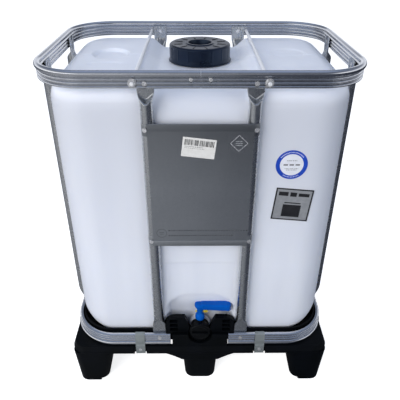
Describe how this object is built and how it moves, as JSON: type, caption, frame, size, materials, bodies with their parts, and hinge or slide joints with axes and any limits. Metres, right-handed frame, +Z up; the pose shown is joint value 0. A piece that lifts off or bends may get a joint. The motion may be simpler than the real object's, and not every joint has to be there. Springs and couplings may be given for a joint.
{
  "type": "intermediate bulk container",
  "caption": "Pallet-mounted liquid container: white moulded tank in a tubular steel cage on a black plastic pallet, with a screw cap on top and a lever valve at the front.",
  "frame": {"origin": "centre of the footprint, on the floor", "axes": "+X to the right along the long side, +Y to the back, +Z up; the outlet faces -Y"},
  "size_m": [0.8, 0.6, 1.013],
  "materials": {
    "pallet_plastic": "injection moulded polyethylene, fine grain",
    "tank_plastic": "translucent natural blow moulded polyethylene",
    "galvanised": "galvanised sheet steel",
    "rod_steel": "bright zinc plated bar",
    "plate_steel": "galvanised sheet, dull",
    "fastener": "zinc plated",
    "black_plastic": "moulded polyethylene, satin",
    "seal_rubber": "rubber",
    "disc_plastic": "moulded polypropylene",
    "blue_plastic": "moulded, satin",
    "yellow_plastic": "moulded",
    "white_label": "printed film",
    "blue_label": "printed film",
    "grey_label": "printed film"
  },
  "bodies": {
    "container": {"pallet": "pallet_plastic", "pallet_feet": "pallet_plastic", "tank": "tank_plastic", "tank_top": "tank_plastic", "tank_neck": "tank_plastic", "top_rail": "galvanised", "bottom_rail": "galvanised", "rail_joint_sleeve": "galvanised", "rail_joint_rivets": "fastener", "post_rivets_top": "fastener", "post_rivets_bottom": "fastener", "left_retaining_rod": "rod_steel", "right_retaining_rod": "rod_steel", "rod_washers": "fastener", "rod_nuts": "fastener", "front_plate": "plate_steel", "plate_screws": "fastener", "rail_clips": "galvanised", "clip_screws": "fastener", "valve_body": "black_plastic", "valve_gasket": "seal_rubber", "valve_seat": "seal_rubber", "stem_seals": "seal_rubber", "barcode_label": "white_label", "round_label": "blue_label", "load_label": "grey_label", "front_left_post": "galvanised", "front_right_post": "galvanised", "back_left_post": "galvanised", "back_right_post": "galvanised", "left_front_post": "galvanised", "left_back_post": "galvanised", "right_front_post": "galvanised", "right_back_post": "galvanised"},
    "lever_arm": {"lever": "blue_plastic", "lever_screw": "fastener", "valve_stem": "disc_plastic", "valve_disc": "disc_plastic"},
    "pin": {"locking_pin": "yellow_plastic"},
    "cap_seal": {"fill_cap_seal": "seal_rubber"},
    "cap": {"fill_cap": "black_plastic"},
    "plug_seal": {"vent_seal": "seal_rubber"},
    "plug": {"vent_plug": "black_plastic"},
    "outlet_seal": {"dust_cap_seal": "seal_rubber"},
    "outlet_cap": {"dust_cap": "black_plastic"}
  },
  "joints": [
    {"name": "lever_turn", "type": "hinge", "parent": "container", "child": "lever_arm", "pos_m": [0, -0.257, 0.29], "axis": [0, 0, 1], "range_deg": [-90, 0]},
    {"name": "locking_pin_pull", "type": "slide", "parent": "lever_arm", "child": "pin", "axis": [1, 0, 0], "range_m": [0, 0.032]},
    {"name": "fill_cap_lift", "type": "slide", "parent": "container", "child": "cap_seal", "axis": [0, 0, 1], "range_m": [0, 0.12]},
    {"name": "fill_cap_turn", "type": "hinge", "parent": "cap_seal", "child": "cap", "pos_m": [0, 0, 1], "axis": [0, 0, 1], "continuous": true},
    {"name": "vent_plug_lift", "type": "slide", "parent": "cap", "child": "plug_seal", "axis": [0, 0, 1], "range_m": [0, 0.04]},
    {"name": "vent_plug_turn", "type": "hinge", "parent": "plug_seal", "child": "plug", "pos_m": [0, 0, 0.995], "axis": [0, 0, 1], "continuous": true},
    {"name": "dust_cap_pull", "type": "slide", "parent": "container", "child": "outlet_seal", "axis": [0, -1, 0], "range_m": [0, 0.06]},
    {"name": "dust_cap_turn", "type": "hinge", "parent": "outlet_seal", "child": "outlet_cap", "pos_m": [0, -0.275, 0.204], "axis": [0, -1, 0], "continuous": true}
  ]
}
